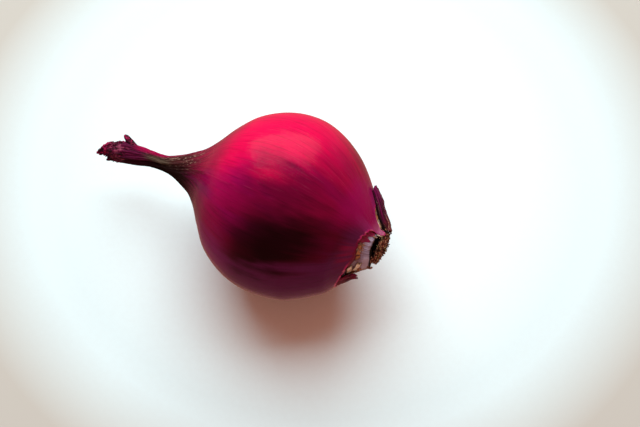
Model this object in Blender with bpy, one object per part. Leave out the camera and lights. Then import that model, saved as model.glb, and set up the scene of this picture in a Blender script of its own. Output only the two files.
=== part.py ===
"""A red onion, lying on its side on a small flat spot.

The bulb and the dry neck that it draws out into are one grown body. The corky root plate, with
its dried root stubs, stands in the hollow at the bulb's base. Two pieces of dry outer skin are
left beside it: a flap that has peeled up on the far side and a tatter along the near side.

Metres, +Z up. +X runs from the neck to the root plate, and the origin is the middle of the flat
spot that the onion rests on. Angles round the bulb's axis are 0 at +Y and 90 on top.
"""

import math
import random

import bmesh
import bpy
from mathutils import Matrix, Vector, noise

MM = 0.001

# The bulb's outline: millimetres along its axis from the widest ring, neck side negative, and
# the radius there. The last point is the crest round the hollow that holds the root plate.
OUTLINE_MM = (
    (-68.5, 3.9),
    (-62.0, 4.0),
    (-55.5, 3.0),
    (-50.0, 2.6),
    (-45.5, 3.7),
    (-41.0, 5.7),
    (-36.5, 9.1),
    (-32.0, 14.7),
    (-27.5, 20.9),
    (-21.0, 28.0),
    (-11.0, 33.4),
    (-0.5, 35.0),
    (8.6, 33.0),
    (17.6, 28.1),
    (24.4, 22.0),
    (30.0, 15.2),
    (34.0, 9.4),
    (36.8, 6.4),
)
NECK_END = OUTLINE_MM[0][0] * MM
CREST = OUTLINE_MM[-1][0] * MM
# The hollow at the base, from the crest inwards to its floor on the axis.
HOLLOW_MM = ((36.9, 5.5), (35.6, 4.6), (34.2, 4.1), (33.6, 3.2), (33.4, 0.0))

# The near side swells out more towards the base: how much at each distance along the axis, and
# the angle that it is centred on.
FULLNESS_MM = (
    (0.0, 0.0),
    (4.0, 0.3),
    (8.6, 0.9),
    (13.1, 1.8),
    (17.6, 2.1),
    (22.1, 2.9),
    (24.4, 3.6),
    (26.6, 4.1),
    (28.5, 3.6),
    (30.0, 3.6),
    (35.0, 3.4),
    (36.8, 2.4),
)
FULLEST_ANGLE = math.radians(200)

BULB_SIDES = 72
NECK_RING_STEP = 1.9 * MM
BODY_RING_STEP = 3.3 * MM
NECK_START = -34.0 * MM

# How the onion lies: the root end is raised, and a flat of this depth is pressed into the skin.
TILT = math.radians(4.0)
FLAT_DEPTH = 0.55 * MM

# The neck leans sideways and droops, starting on the shoulder.
LEAN_START = -26.0 * MM
LEAN_SOFTNESS = 4.0 * MM
LEAN_SLOPE = 0.165
DROOP_SLOPE = 0.05

# Low swells round the body, and the folds that the neck dries into.
SWELL_HEIGHT = 0.35 * MM
FOLD_HEIGHT = 0.42 * MM
FOLD_COUNT = 9
FOLD_TWIST = 38.0

# Where the outer skin is torn off round the base: degrees round the axis, and millimetres
# along it.
TORN_EDGE = (
    (0, 31.2),
    (20, 30.6),
    (35, 32.0),
    (50, 35.4),
    (66, 35.2),
    (85, 34.0),
    (116, 33.2),
    (158, 32.6),
    (172, 31.2),
    (185, 30.0),
    (200, 28.8),
    (230, 28.4),
    (270, 30.4),
    (310, 32.2),
    (340, 31.8),
)
TORN_EDGE_START = 24.0 * MM
TORN_EDGE_NOMINAL = 31.6 * MM
TORN_EDGE_RAGGED = 0.45 * MM
# The step down from the skin to the scale that it bares, and how much deeper it is where the
# near side swells.
SKIN_STEP = 0.7 * MM
SWOLLEN_STEP = 2.2 * MM

# The dry leaf ends at the neck's tip, an outer layer and then an inner one: the angle and radius
# of each, how far it reaches along the axis, its width and how far it splays outwards, in
# degrees and millimetres.
NECK_TIPS = (
    (20, 3.1, -72.4, 3.3, 1.0),
    (92, 3.1, -72.6, 3.4, 0.8),
    (164, 3.1, -75.0, 3.2, 0.4),
    (236, 3.1, -75.6, 3.3, 0.5),
    (308, 3.1, -72.4, 3.4, 1.0),
    (56, 1.9, -72.8, 2.2, 0.3),
    (128, 1.9, -74.0, 2.3, 0.2),
    (200, 1.9, -76.6, 2.2, 0.0),
    (272, 1.9, -74.6, 2.3, 0.1),
    (344, 1.9, -73.4, 2.2, 0.3),
)
TIP_ROOT = -63.0 * MM
# One leaf end stands out from the neck like a thumb.
THUMB_ANGLE = math.radians(28)
THUMB_START = -61.4 * MM
THUMB_LENGTH = 7.6 * MM
THUMB_WIDTH = 2.4 * MM

PLATE_SIDES = 48
# The root plate's outline, from the foot of its stalk in the hollow to the middle of its face.
PLATE_MM = (
    (33.75, 0.0),
    (33.8, 2.0),
    (34.6, 3.0),
    (36.4, 3.3),
    (37.4, 4.3),
    (38.1, 5.8),
    (39.0, 6.5),
    (39.8, 6.0),
    (40.2, 4.4),
    (40.3, 2.2),
    (40.1, 0.0),
)
PLATE_CRUMBLE = 0.5 * MM
ROOT_STUBS = 18
ROOT_LENGTH = (0.6 * MM, 1.5 * MM)
ROOT_RADIUS = 0.6 * MM
ROOT_SIDES = 5

BLADE_THICKNESS = 0.7 * MM
GAP = 0.3 * MM
# The middle of the flap's thickness, from the root plate's rim to its free end, as millimetres
# along the axis and radius. It spreads to both sides of one angle.
FLAP_MM = ((39.5, 7.8), (39.0, 8.7), (37.1, 10.4), (34.0, 13.8), (30.8, 18.0), (28.4, 19.7))
FLAP_ANGLE = math.radians(21)
FLAP_HALF_WIDTH = 5.0 * MM
# The same for the tatter, which carries on from the torn skin.
TATTER_MM = ((29.0, 19.7), (30.6, 18.2), (32.2, 16.4), (33.6, 14.9), (34.8, 14.2))
TATTER_ANGLE = math.radians(199)
TATTER_HALF_WIDTH = 2.9 * MM


def smooth_curve(points):
    """A function that runs smoothly through the points and stays level past them."""
    xs = [p[0] for p in points]
    ys = [p[1] for p in points]
    last = len(points) - 1

    def slope(i):
        before, after = max(i - 1, 0), min(i + 1, last)
        return (ys[after] - ys[before]) / (xs[after] - xs[before])

    def value(x):
        x = min(max(x, xs[0]), xs[-1])
        i = min(sum(x >= k for k in xs[1:]), last - 1)
        width = xs[i + 1] - xs[i]
        t = (x - xs[i]) / width
        rise = 3 * t**2 - 2 * t**3
        return (
            ys[i] * (1 - rise)
            + ys[i + 1] * rise
            + slope(i) * width * (t**3 - 2 * t**2 + t)
            + slope(i + 1) * width * (t**3 - t**2)
        )

    return value


def smooth_path(points):
    """A function from a share of the way, 0 to 1, to (x, radius) along the points."""
    last = len(points) - 1
    along = smooth_curve([(i / last, p[0]) for i, p in enumerate(points)])
    out = smooth_curve([(i / last, p[1]) for i, p in enumerate(points)])
    return lambda share: (along(share) * MM, out(share) * MM)


def in_metres(points):
    return [(x * MM, r * MM) for x, r in points]


outline = smooth_curve(in_metres(OUTLINE_MM))
fullness = smooth_curve(in_metres(FULLNESS_MM))


def smooth_step(low, high, x):
    t = min(max((x - low) / (high - low), 0.0), 1.0)
    return t * t * (3 - 2 * t)


def round_axis(x, radius, angle):
    return Vector((x, radius * math.cos(angle), radius * math.sin(angle)))


def near_side(angle):
    """1 on the side that swells, falling to 0 opposite."""
    return (0.5 + 0.5 * math.cos(angle - FULLEST_ANGLE)) ** 1.6


def torn_edge(angle):
    """How far along the axis the outer skin reaches, at this angle round it."""
    degrees = math.degrees(angle) % 360
    keys = [(a - 360, x) for a, x in TORN_EDGE[-2:]] + list(TORN_EDGE)
    keys += [(a + 360, x) for a, x in TORN_EDGE[:2]]
    ragged = noise.noise(Vector((math.cos(angle) * 7, math.sin(angle) * 7, 3.0)))
    return smooth_curve(keys)(degrees) * MM + ragged * TORN_EDGE_RAGGED


def lean(x):
    """The sideways and downward shift of the neck's centre at this distance along the axis."""
    past = max(LEAN_START - x, 0.0)
    reach = math.hypot(past, LEAN_SOFTNESS) - LEAN_SOFTNESS
    return Vector((0.0, -LEAN_SLOPE * reach, -DROOP_SLOPE * reach))


def relief(x, angle):
    """How much the surface stands out from the plain turned outline."""
    swell = math.cos(2 * angle + 0.6) + 0.6 * math.cos(3 * angle + 2.1)
    on_body = smooth_step(-32 * MM, -16 * MM, x) * (1 - smooth_step(16 * MM, 30 * MM, x))
    turned = angle + FOLD_TWIST * x
    folds = 0.6 * math.cos(FOLD_COUNT * turned) + 0.4 * math.cos(5 * turned + 1.3)
    on_neck = 1 - smooth_step(-44 * MM, -33 * MM, x)
    on_neck *= 0.55 + 0.45 * smooth_step(-50 * MM, -60 * MM, x)
    return SWELL_HEIGHT * 0.5 * swell * on_body + FOLD_HEIGHT * folds * on_neck


def skin_radius(x, angle):
    return outline(x) + fullness(x) * near_side(angle) + relief(x, angle)


def resting_place():
    """The matrix that lays the bulb down, with the middle of its flat spot at the origin."""
    turn = Matrix.Rotation(-TILT, 4, "Y")
    samples = []
    for step in range(121):
        x = (-12 + 0.2 * step) * MM
        for degrees in range(250, 291):
            angle = math.radians(degrees)
            samples.append(turn @ round_axis(x, skin_radius(x, angle), angle))
    floor = min(point.z for point in samples) + FLAT_DEPTH
    flat = [point for point in samples if point.z < floor]
    middle = [(max(p[i] for p in flat) + min(p[i] for p in flat)) / 2 for i in (0, 1)]
    return Matrix.Translation((-middle[0], -middle[1], -floor)) @ turn


LAID_DOWN = resting_place()


def clear_scene():
    for obj in list(bpy.data.objects):
        bpy.data.objects.remove(obj)


def finish(name, colour, roughness):
    """A Principled material for one of the onion's tissues."""
    made = bpy.data.materials.new(name)
    made.use_nodes = True
    shader = made.node_tree.nodes["Principled BSDF"]
    shader.inputs["Base Color"].default_value = (*colour, 1.0)
    shader.inputs["Roughness"].default_value = roughness
    shader.inputs["Metallic"].default_value = 0.0
    return made


def to_object(name, bm, material):
    """One object from a bmesh, smooth shaded but for its sharp edges."""
    bmesh.ops.recalc_face_normals(bm, faces=bm.faces)
    mesh = bpy.data.meshes.new(name)
    bm.to_mesh(mesh)
    bm.free()
    mesh.materials.append(material)
    mesh.shade_smooth()
    mesh.set_sharp_from_angle(angle=math.radians(40))
    obj = bpy.data.objects.new(name, mesh)
    bpy.context.scene.collection.objects.link(obj)
    return obj


def turned(profile, sides):
    """A solid turned round the X axis. profile holds (x, radius, zone), and vertices keep zones."""
    bm = bmesh.new()
    zone_of = bm.verts.layers.int.new("zone")
    line = []
    for x, radius, zone in profile:
        vert = bm.verts.new((x, 0.0, radius))
        vert[zone_of] = zone
        line.append(vert)
    edges = [bm.edges.new(pair) for pair in zip(line, line[1:])]
    bmesh.ops.spin(
        bm,
        geom=line + edges,
        cent=(0, 0, 0),
        axis=(1, 0, 0),
        angle=math.tau,
        steps=sides,
        use_merge=True,
    )
    bmesh.ops.remove_doubles(bm, verts=bm.verts, dist=0.001 * MM)
    return bm


SKIN, SCALE, HOLLOW = range(3)


def bulb_profile():
    """The turned outline: the neck's end, the skin, the bared scale below it and the hollow."""
    neck_rings = round((NECK_START - NECK_END) / NECK_RING_STEP)
    body_rings = round((TORN_EDGE_NOMINAL - NECK_START) / BODY_RING_STEP)
    neck_length = NECK_START - NECK_END
    body_length = TORN_EDGE_NOMINAL - NECK_START
    stations = [NECK_END + neck_length * i / neck_rings for i in range(neck_rings)]
    stations += [NECK_START + body_length * i / body_rings for i in range(body_rings + 1)]
    profile = [(NECK_END - 0.6 * MM, 0.0, SKIN), (NECK_END - 0.3 * MM, 2.2 * MM, SKIN)]
    profile += [(x, outline(x), SKIN) for x in stations]
    for share in (0.0, 0.3, 0.65, 1.0):
        x = TORN_EDGE_NOMINAL + share * (CREST - TORN_EDGE_NOMINAL)
        profile.append((x, outline(x) - SKIN_STEP, SCALE))
    return profile + [(x, r, HOLLOW) for x, r in in_metres(HOLLOW_MM)]


def grown_place(vert, zone):
    """Where a vertex of the plain turned bulb belongs on the grown one."""
    x, y, z = vert.co
    angle = math.atan2(z, y)
    radius = math.hypot(y, z)
    edge = torn_edge(angle)
    if zone == SKIN and x >= NECK_END:
        if x > TORN_EDGE_START:
            share = (x - TORN_EDGE_START) / (TORN_EDGE_NOMINAL - TORN_EDGE_START)
            x = TORN_EDGE_START + share * (edge - TORN_EDGE_START)
        radius = skin_radius(x, angle)
    elif zone == SCALE:
        share = (x - TORN_EDGE_NOMINAL) / (CREST - TORN_EDGE_NOMINAL)
        x = edge + share * (CREST - edge)
        swollen = near_side(angle)
        step = SKIN_STEP + SWOLLEN_STEP * swollen
        radius = outline(x) + fullness(x) * swollen - step * (1 - share**2)
    return round_axis(x, radius, angle) + lean(x)


def press_flat(bm):
    """Cuts the laid-down bulb off at the surface it rests on, which leaves the flat spot."""
    cut = bmesh.ops.bisect_plane(
        bm,
        geom=bm.verts[:] + bm.edges[:] + bm.faces[:],
        plane_co=(0, 0, 0),
        plane_no=(0, 0, 1),
        clear_inner=True,
    )
    rim = [e for e in cut["geom_cut"] if isinstance(e, bmesh.types.BMEdge)]
    for edge in rim:
        for vert in edge.verts:
            vert.co.z = 0.0
    bmesh.ops.contextual_create(bm, geom=rim)


def sheet(name, place, columns, rows, material, thickness=BLADE_THICKNESS):
    """A piece of dry skin: place(across, along) puts each point, from -1 to 1 and from 0 to 1."""
    bm = bmesh.new()
    bmesh.ops.create_grid(bm, x_segments=columns, y_segments=rows, size=1.0)
    for vert in bm.verts:
        vert.co = LAID_DOWN @ place(vert.co.x, (vert.co.y + 1) / 2)
    obj = to_object(name, bm, material)
    body = obj.modifiers.new("thickness", "SOLIDIFY")
    body.thickness = thickness
    body.offset = 0.0
    return obj


def join_all(obj, repeats, solver):
    """Makes obj and what grows from it one body."""
    holder = bpy.data.collections.new(obj.name + "_repeats")
    bpy.context.scene.collection.children.link(holder)
    for other in repeats:
        bpy.context.scene.collection.objects.unlink(other)
        holder.objects.link(other)
    union = obj.modifiers.new("grown together", "BOOLEAN")
    union.operation = "UNION"
    union.operand_type = "COLLECTION"
    union.collection = holder
    union.solver = solver
    bpy.context.view_layer.objects.active = obj
    bpy.ops.object.modifier_apply(modifier=union.name)
    for other in repeats:
        bpy.data.objects.remove(other)
    bpy.data.collections.remove(holder)


def neck_tip(index, degrees, start, reach, width, splay, material):
    """One of the dry leaf ends that fray from the neck's tip."""
    random.seed(index)
    wave = random.uniform(-0.12, 0.12) * MM
    notch = random.uniform(0.15, 0.35)
    middle = math.radians(degrees)
    length = reach * MM - TIP_ROOT

    def place(across, along):
        torn = 1 - notch * abs(across) ** 1.5 * along**3
        x = TIP_ROOT + length * along * torn
        half = 0.5 * width * MM * (1 - 0.5 * along**3)
        radius = (start + splay * along**3) * MM + wave * math.sin(5 * along) * along**2
        return round_axis(x, radius, middle + across * half / radius) + lean(x)

    return sheet(f"tip_{index}", place, 2, 5, material)


def thumb(material):
    """The leaf end that stands out from the neck."""
    out = round_axis(0.0, 1.0, THUMB_ANGLE)
    side = out.cross(Vector((1, 0, 0)))
    root = Vector((THUMB_START, 0, 0)) + lean(THUMB_START) + out * 1.8 * MM

    def place(across, along):
        reach = THUMB_LENGTH * along
        spine = root + Vector((-0.88 * reach, 0, 0)) + out * 0.48 * reach
        rounding = math.sqrt(max(1 - (max(along - 0.55, 0) / 0.46) ** 2, 0.12))
        return spine + side * across * 0.5 * THUMB_WIDTH * rounding - out * 0.35 * MM * across**2

    return sheet("thumb", place, 2, 6, material, thickness=1.1 * MM)


def make_bulb(material):
    bm = turned(bulb_profile(), BULB_SIDES)
    zone_of = bm.verts.layers.int["zone"]
    for vert in bm.verts:
        vert.co = grown_place(vert, vert[zone_of])
    bm.transform(LAID_DOWN)
    press_flat(bm)
    bulb = to_object("bulb", bm, material)
    tips = [neck_tip(i, *tip, material) for i, tip in enumerate(NECK_TIPS)]
    join_all(bulb, tips + [thumb(material)], "MANIFOLD")


def root_stub(index, material):
    """A short dry root that stands out of the root plate's face."""
    random.seed(100 + index)
    angle = math.tau * (index * 0.381966)
    radius = (1.2 + 4.4 * math.sqrt((index + 0.5) / ROOT_STUBS)) * MM
    length = random.uniform(*ROOT_LENGTH) + 1.3 * MM
    tilt = radius / (7 * MM) + random.uniform(-0.15, 0.15)
    along = round_axis(1.0, tilt, angle + random.uniform(-0.3, 0.3)).normalized()
    bm = bmesh.new()
    bmesh.ops.create_cone(
        bm,
        cap_ends=True,
        segments=ROOT_SIDES,
        radius1=ROOT_RADIUS,
        radius2=0.6 * ROOT_RADIUS,
        depth=length,
    )
    turn = Vector((0, 0, 1)).rotation_difference(along).to_matrix().to_4x4()
    middle = round_axis(38.8 * MM, radius, angle) + along * length / 2
    bm.transform(LAID_DOWN @ Matrix.Translation(middle) @ turn)
    return to_object(f"root_{index}", bm, material)


def make_root_plate(material):
    bm = turned([(x, r, 0) for x, r in in_metres(PLATE_MM)], PLATE_SIDES)
    for vert in bm.verts:
        x, y, z = vert.co
        radius = math.hypot(y, z)
        rough = PLATE_CRUMBLE * smooth_step(3 * MM, 6 * MM, radius)
        shift = noise.noise_vector(vert.co / (1.3 * MM))
        vert.co += Vector((0.6 * shift.x, shift.y, shift.z)) * rough
    bm.transform(LAID_DOWN)
    plate = to_object("root_plate", bm, material)
    stubs = [root_stub(i, material) for i in range(ROOT_STUBS)]
    join_all(plate, stubs, "EXACT")


def skin_piece(name, path_mm, middle, half_width, rough_end, least_x, grid, material):
    """A torn strip of skin, arched round the bulb's axis, that follows a path away from it."""
    path = smooth_path(path_mm)

    def place(across, along):
        x, radius = path(along)
        jag = noise.noise(Vector((across * 2.1, 7.0, rough_end / MM)))
        edge = noise.noise(Vector((along * 6.0, across, rough_end * 3 / MM)))
        x += rough_end * jag * smooth_step(0.6, 1.0, along)
        width = half_width * (1 + 0.3 * edge * smooth_step(0.1, 0.4, along))
        angle = middle + across * width / radius
        return round_axis(max(x, least_x(angle)), radius, angle)

    sheet(name, place, *grid, material)


def main():
    clear_scene()
    skin = finish("glossy red skin", (0.30, 0.005, 0.045), 0.25)
    cork = finish("dry cork", (0.20, 0.09, 0.05), 0.9)
    dry_skin = finish("dry purple skin", (0.14, 0.012, 0.03), 0.5)
    make_bulb(skin)
    make_root_plate(cork)
    skin_piece(
        "skin_flap",
        FLAP_MM,
        FLAP_ANGLE,
        FLAP_HALF_WIDTH,
        rough_end=1.1 * MM,
        least_x=lambda angle: 0.0,
        grid=(12, 14),
        material=dry_skin,
    )
    skin_piece(
        "skin_tatter",
        TATTER_MM,
        TATTER_ANGLE,
        TATTER_HALF_WIDTH,
        rough_end=0.9 * MM,
        least_x=lambda angle: torn_edge(angle) + 2 * GAP,
        grid=(8, 9),
        material=dry_skin,
    )


main()
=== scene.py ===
"""A red onion on a pale table, lit by one big soft window behind it."""

import math
import random

import bmesh
import bpy
from mathutils import Matrix, Vector, noise


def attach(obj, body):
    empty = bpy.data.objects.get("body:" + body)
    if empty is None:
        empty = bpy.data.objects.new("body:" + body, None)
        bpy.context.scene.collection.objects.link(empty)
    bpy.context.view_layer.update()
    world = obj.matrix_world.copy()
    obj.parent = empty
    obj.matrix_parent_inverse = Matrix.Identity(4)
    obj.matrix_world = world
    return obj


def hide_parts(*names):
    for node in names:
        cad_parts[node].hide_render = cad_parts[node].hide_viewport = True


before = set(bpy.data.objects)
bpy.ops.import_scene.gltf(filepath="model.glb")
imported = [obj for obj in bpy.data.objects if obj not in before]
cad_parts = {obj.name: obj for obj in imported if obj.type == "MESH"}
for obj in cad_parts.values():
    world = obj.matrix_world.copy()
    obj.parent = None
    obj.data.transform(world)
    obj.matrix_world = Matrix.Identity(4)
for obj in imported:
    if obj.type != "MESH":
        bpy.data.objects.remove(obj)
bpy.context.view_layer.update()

MM = 0.001

# The offsets of noise_vector come from this seed, and from the clock if none is set.
noise.seed_set(5)

# The bulb's outline: millimetres along its axis and the radius there, neck first.
OUTLINE_MM = (
    (-68.5, 3.55), (-62.0, 3.45), (-55.5, 2.55), (-50.0, 2.7), (-45.5, 4.35), (-41.0, 6.7),
    (-36.5, 9.7), (-32.0, 14.75), (-27.5, 20.9), (-21.0, 28.0), (-11.0, 33.4), (-0.5, 35.0),
    (8.6, 33.0), (17.6, 28.1), (24.4, 22.0), (30.0, 15.2), (34.0, 9.4), (36.8, 6.4),
)
NECK_END = OUTLINE_MM[0][0] * MM
CREST = OUTLINE_MM[-1][0] * MM
HOLLOW_MM = ((36.9, 5.5), (35.6, 4.6), (34.2, 4.1), (33.6, 3.2), (33.4, 0.0))

# How much further the near side swells towards the base.
FULLNESS_MM = (
    (0.0, 0.0), (4.0, 0.3), (8.6, 0.9), (13.1, 1.8), (17.6, 2.1), (22.1, 2.9), (24.4, 3.6),
    (26.6, 4.1), (28.5, 3.6), (30.0, 3.6), (35.0, 3.4), (36.8, 2.4),
)
FULLEST_ANGLE = math.radians(200)

TILT = math.radians(4.0)
FLAT_DEPTH = 0.55 * MM
LEAN_START = -26.0 * MM
LEAN_SOFTNESS = 4.0 * MM
LEAN_SLOPE = 0.165
DROOP_SLOPE = 0.05
NECK_SHIFT = 0.45 * MM
SWELL_HEIGHT = 0.35 * MM
FOLD_HEIGHT = 0.42 * MM
FOLD_COUNT = 9
FOLD_TWIST = 38.0

# Where the outer skin is torn off round the base: degrees round the axis, 90 on top, and
# millimetres along it.
TORN_EDGE = (
    (0, 31.4), (18, 31.2), (30, 31.6), (38, 32.2), (42, 33.2), (45, 35.8), (49, 37.8),
    (56, 38.8), (64, 39.2), (70, 38.8), (74, 37.2), (77, 35.6), (82, 34.7), (90, 34.2),
    (97, 33.8), (104, 33.3), (114, 32.8), (126, 33.0), (140, 33.0), (150, 32.6), (159, 31.8),
    (170, 31.1), (188, 29.6), (210, 28.5), (240, 28.6), (270, 30.4), (310, 32.0), (340, 31.8),
)
TORN_EDGE_START = 22.0 * MM
SKIN_THICKNESS = 0.35 * MM
SKIN_STEP = 0.7 * MM
SWOLLEN_STEP = 2.2 * MM


def smooth_curve(points):
    """A function that runs smoothly through the points and stays level past them."""
    xs = [p[0] for p in points]
    ys = [p[1] for p in points]
    last = len(points) - 1

    def slope(i):
        before, after = max(i - 1, 0), min(i + 1, last)
        return (ys[after] - ys[before]) / (xs[after] - xs[before])

    def value(x):
        x = min(max(x, xs[0]), xs[-1])
        i = min(sum(x >= k for k in xs[1:]), last - 1)
        width = xs[i + 1] - xs[i]
        t = (x - xs[i]) / width
        rise = 3 * t**2 - 2 * t**3
        return (
            ys[i] * (1 - rise)
            + ys[i + 1] * rise
            + slope(i) * width * (t**3 - 2 * t**2 + t)
            + slope(i + 1) * width * (t**3 - t**2)
        )

    return value


def smooth_path(points):
    """A function from a share of the way, 0 to 1, to (x, radius) along the points."""
    last = len(points) - 1
    along = smooth_curve([(i / last, p[0]) for i, p in enumerate(points)])
    out = smooth_curve([(i / last, p[1]) for i, p in enumerate(points)])
    return lambda share: (along(share) * MM, out(share) * MM)


def in_metres(points):
    return [(x * MM, r * MM) for x, r in points]


outline = smooth_curve(in_metres(OUTLINE_MM))
fullness = smooth_curve(in_metres(FULLNESS_MM))
torn_line = smooth_curve(
    [(a - 360, x) for a, x in TORN_EDGE[-2:]]
    + list(TORN_EDGE)
    + [(a + 360, x) for a, x in TORN_EDGE[:2]]
)


def smooth_step(low, high, x):
    t = min(max((x - low) / (high - low), 0.0), 1.0)
    return t * t * (3 - 2 * t)


def round_axis(x, radius, angle):
    return Vector((x, radius * math.cos(angle), radius * math.sin(angle)))


def from_axis(point):
    """The radius and the angle round the axis, which round_axis puts together again."""
    return math.hypot(point.y, point.z), math.atan2(point.z, point.y)


def wave(x, y, z):
    return noise.noise(Vector((x, y, z)))


def rough(angle, cells, seed, along=0.0):
    """Noise that closes up round the axis, -1 to 1, with about this many cells in a turn."""
    reach = cells / math.tau
    return wave(math.cos(angle) * reach, math.sin(angle) * reach, along + seed)


def near_side(angle):
    return (0.5 + 0.5 * math.cos(angle - FULLEST_ANGLE)) ** 1.6


def torn_edge(angle):
    ragged = 0.3 * rough(angle, 22, 3.0) + 0.3 * rough(angle, 64, 9.0)
    ragged += 0.2 * rough(angle, 160, 5.0)
    return (torn_line(math.degrees(angle) % 360) + ragged) * MM


def lean(x):
    """The sideways and downward shift of the neck's centre at this distance along the axis."""
    past = max(LEAN_START - x, 0.0)
    reach = math.hypot(past, LEAN_SOFTNESS) - LEAN_SOFTNESS
    shift = NECK_SHIFT * smooth_step(-50 * MM, -57 * MM, x)
    return Vector((0.0, shift - LEAN_SLOPE * reach, -DROOP_SLOPE * reach))


def relief(x, angle):
    """How much the surface stands out from the plain turned outline."""
    swell = math.cos(2 * angle + 0.6) + 0.6 * math.cos(3 * angle + 2.1)
    on_body = smooth_step(-32 * MM, -16 * MM, x) * (1 - smooth_step(16 * MM, 30 * MM, x))
    turned_angle = angle + FOLD_TWIST * x
    folds = 0.6 * math.cos(FOLD_COUNT * turned_angle) + 0.4 * math.cos(5 * turned_angle + 1.3)
    on_neck = 1 - smooth_step(-44 * MM, -33 * MM, x)
    on_neck *= 0.55 + 0.45 * smooth_step(-50 * MM, -60 * MM, x)
    return SWELL_HEIGHT * 0.5 * swell * on_body + FOLD_HEIGHT * folds * on_neck


def wrinkles(x, angle):
    """The finer dry folds along the neck and out over the shoulder."""
    turned_angle = angle + FOLD_TWIST * x
    along = x / (16 * MM)
    ridges = 1 - 2.2 * abs(rough(turned_angle, 34, 1.0, along))
    creases = 1 - 2.2 * abs(rough(turned_angle, 90, 4.0, 1.6 * along))
    on_neck = 1 - smooth_step(-42 * MM, -31 * MM, x)
    on_shoulder = 1 - smooth_step(-34 * MM, -22 * MM, x)
    deep = (0.3 * ridges + 0.14 * creases) * on_neck
    return (deep + 0.06 * creases * on_shoulder) * MM


def skin_radius(x, angle):
    return outline(x) + fullness(x) * near_side(angle) + relief(x, angle)


def resting_place():
    """The matrix that lays the bulb down, with the middle of its flat spot at the origin."""
    turn = Matrix.Rotation(-TILT, 4, "Y")
    samples = []
    for step in range(121):
        x = (-12 + 0.2 * step) * MM
        for degrees in range(250, 291):
            angle = math.radians(degrees)
            samples.append(turn @ round_axis(x, skin_radius(x, angle), angle))
    floor = min(point.z for point in samples) + FLAT_DEPTH
    flat = [point for point in samples if point.z < floor]
    middle = [(max(p[i] for p in flat) + min(p[i] for p in flat)) / 2 for i in (0, 1)]
    return Matrix.Translation((-middle[0], -middle[1], -floor)) @ turn


LAID_DOWN = resting_place()


class Amount:
    """A number that varies over a surface, with the usual operators."""

    def __init__(self, paint, socket):
        self.paint = paint
        self.socket = socket

    def maths(self, operation, *operands):
        values = [o.socket if isinstance(o, Amount) else o for o in operands]
        made = self.paint.node("ShaderNodeMath", {"operation": operation}, dict(enumerate(values)))
        return Amount(self.paint, made.outputs[0])

    def __add__(self, other):
        return self.maths("ADD", self, other)

    def __radd__(self, other):
        return self.maths("ADD", other, self)

    def __sub__(self, other):
        return self.maths("SUBTRACT", self, other)

    def __rsub__(self, other):
        return self.maths("SUBTRACT", other, self)

    def __mul__(self, other):
        return self.maths("MULTIPLY", self, other)

    def __rmul__(self, other):
        return self.maths("MULTIPLY", other, self)

    def __truediv__(self, other):
        return self.maths("DIVIDE", self, other)

    def least(self, other):
        return self.maths("MINIMUM", self, other)

    def most(self, other):
        return self.maths("MAXIMUM", self, other)

    def swing(self, size):
        """A noise as a swing round nought, by up to half this size."""
        return (self - 0.5) * size

    def rise(self, low, high):
        """0 up to low, 1 from high, smooth between; low may be the greater."""
        flip = low > high
        ends = (high, low) if flip else (low, high)
        settings = {"interpolation_type": "SMOOTHSTEP"}
        made = self.paint.node(
            "ShaderNodeMapRange", settings, {0: self.socket, 1: ends[0], 2: ends[1]}
        )
        up = Amount(self.paint, made.outputs[0])
        return 1 - up if flip else up


class Paint:
    """One Principled material and the nodes that vary it."""

    def __init__(self, name):
        self.material = bpy.data.materials.new(name)
        self.material.use_nodes = True
        self.tree = self.material.node_tree
        self.shader = self.tree.nodes["Principled BSDF"]

    def node(self, kind, settings=None, inputs=None):
        made = self.tree.nodes.new(kind)
        for key, value in (settings or {}).items():
            setattr(made, key, value)
        for key, value in (inputs or {}).items():
            self.feed(made.inputs[key], value)
        return made

    def feed(self, socket, value):
        if isinstance(value, Amount):
            value = value.socket
        if isinstance(value, bpy.types.NodeSocket):
            self.tree.links.new(value, socket)
        elif socket.type == "RGBA":
            socket.default_value = (*value, 1.0)
        else:
            socket.default_value = value

    def set(self, **sockets):
        for name, value in sockets.items():
            label = name.replace("_", " ").title().replace("Ior", "IOR")
            self.feed(self.shader.inputs[label], value)

    def attribute(self, name):
        return self.node("ShaderNodeAttribute", {"attribute_name": name})

    def amount(self, name):
        return Amount(self, self.attribute(name).outputs["Fac"])

    def parts(self, vector):
        made = self.node("ShaderNodeSeparateXYZ", inputs={0: vector})
        return [Amount(self, output) for output in made.outputs]

    def vector(self, x, y, z):
        return self.node("ShaderNodeCombineXYZ", inputs={0: x, 1: y, 2: z}).outputs[0]

    def place(self):
        return self.node("ShaderNodeTexCoord").outputs["Object"]

    def grain(self):
        """Three amounts: along the bulb or the strip, and two across."""
        return self.parts(self.attribute("grain").outputs["Vector"])

    def noise(self, vector, scale, detail=2.0, roughness=0.5):
        inputs = {"Vector": vector, "Scale": scale, "Detail": detail, "Roughness": roughness}
        return Amount(self, self.node("ShaderNodeTexNoise", inputs=inputs).outputs[0])

    def streaks(self, grain, length, width, detail=2.0, roughness=0.5, seed=0.0):
        """Noise drawn out along the grain, with more streaks the greater width is."""
        along, far, up = grain
        stretched = self.vector(along * length + seed, far * width, up * width)
        return self.noise(stretched, 1.0, detail, roughness)

    def mix(self, factor, first, second, blend="MIX"):
        settings = {"data_type": "RGBA", "blend_type": blend}
        made = self.node("ShaderNodeMix", settings, {0: factor, 6: first, 7: second})
        return made.outputs[2]

    def times(self, first, second):
        return self.mix(1.0, first, second, "MULTIPLY")

    def bump(self, height, distance, strength=1.0, normal=None):
        inputs = {"Height": height, "Distance": distance, "Strength": strength}
        if normal:
            inputs["Normal"] = normal
        return self.node("ShaderNodeBump", inputs=inputs).outputs[0]


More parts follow.
